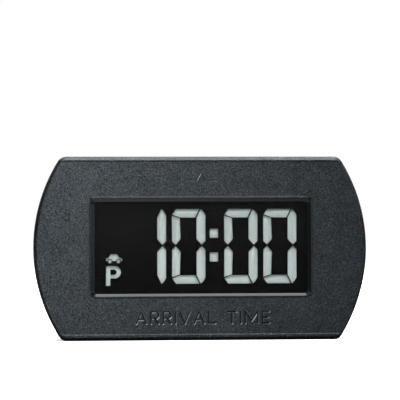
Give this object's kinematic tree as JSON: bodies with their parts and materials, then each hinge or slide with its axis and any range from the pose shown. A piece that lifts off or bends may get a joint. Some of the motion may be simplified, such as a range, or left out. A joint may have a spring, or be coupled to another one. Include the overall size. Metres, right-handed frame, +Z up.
{
  "type": "electronic parking disc",
  "caption": "Flat digital parking clock in a truncated round case, with a liquid-crystal display in front and set keys and a screwed coin-cell door behind.",
  "frame": {"origin": "middle of the flat lower edge, half way through the thickness", "axes": "+X to the right of someone reading the display, +Z up, display faces -Y, keys and battery door face +Y"},
  "size_m": [0.11, 0.015, 0.0606],
  "materials": {
    "grained_case": "fine spark-eroded grain, dark blue-grey",
    "grained_door": "fine spark-eroded grain, dark blue-grey",
    "black_tape": "matt black adhesive foam",
    "clear_window": "polished clear acrylic",
    "polarizer_film": "neutral film",
    "display_glass": "polished",
    "seal_resin": "cured resin",
    "dark_field": "even black",
    "reflector_foil": "pale grey-green diffusing foil",
    "holder_plastic": "satin",
    "conductive_rubber": "matt",
    "circuit_board": "green solder mask",
    "screw_steel": "zinc plated",
    "chip_epoxy": "moulded epoxy",
    "crystal_can": "drawn can",
    "chip_ceramic": "sintered ceramic",
    "insert_brass": "turned",
    "switch_body": "moulded",
    "switch_plunger": "moulded",
    "key_plastic": "fine satin",
    "cell_steel": "nickel plated, brushed",
    "cell_seal": "nylon",
    "contact_spring": "nickel plated spring strip"
  },
  "bodies": {
    "root": {"board_screws": "screw_steel", "case_screws": "screw_steel", "chip_passives": "chip_ceramic", "clock_crystal": "crystal_can", "coin_cell_left_can": "cell_steel", "coin_cell_left_cap": "cell_steel", "coin_cell_left_seal": "cell_seal", "coin_cell_right_can": "cell_steel", "coin_cell_right_cap": "cell_steel", "coin_cell_right_seal": "cell_seal", "display_window": "clear_window", "door_thread_inserts": "insert_brass", "elastomer_connector": "conductive_rubber", "front_cover": "grained_case", "lcd_dark_field": "dark_field", "lcd_edge_seal": "seal_resin", "lcd_front_glass": "display_glass", "lcd_front_polarizer": "polarizer_film", "lcd_holder": "holder_plastic", "lcd_rear_glass": "display_glass", "lcd_reflector": "reflector_foil", "main_board": "circuit_board", "microcontroller": "chip_epoxy", "minus_switch": "switch_body", "motion_sensor": "chip_epoxy", "negative_contact_left": "contact_spring", "negative_contact_right": "contact_spring", "plus_switch": "switch_body", "positive_contact_left": "contact_spring", "positive_contact_right": "contact_spring", "rear_housing": "grained_case", "set_switch": "switch_body", "window_tape": "black_tape"},
    "minus_key": {"minus_button": "key_plastic", "minus_plunger": "switch_plunger"},
    "set_key": {"set_button": "key_plastic", "set_plunger": "switch_plunger"},
    "plus_key": {"plus_button": "key_plastic", "plus_plunger": "switch_plunger"},
    "door": {"battery_door": "grained_door"},
    "upper_screw": {"door_screw_upper": "screw_steel"},
    "lower_screw": {"door_screw_lower": "screw_steel"}
  },
  "joints": [
    {"name": "minus_press", "type": "slide", "parent": "root", "child": "minus_key", "axis": [0, -1, 0], "range_m": [0, 0.0003], "stiffness_N_per_m": 3000},
    {"name": "set_press", "type": "slide", "parent": "root", "child": "set_key", "axis": [0, -1, 0], "range_m": [0, 0.0003], "stiffness_N_per_m": 3000},
    {"name": "plus_press", "type": "slide", "parent": "root", "child": "plus_key", "axis": [0, -1, 0], "range_m": [0, 0.0003], "stiffness_N_per_m": 3000},
    {"name": "door_lift", "type": "slide", "parent": "root", "child": "door", "axis": [0, 1, 0], "range_m": [0, 0.012]},
    {"name": "upper_screw_turn", "type": "hinge", "parent": "door", "child": "upper_screw", "pos_m": [0, 0.006, 0.033], "axis": [0, 1, 0], "continuous": true},
    {"name": "lower_screw_turn", "type": "hinge", "parent": "door", "child": "lower_screw", "pos_m": [0, 0.006, 0.011], "axis": [0, 1, 0], "continuous": true}
  ]
}
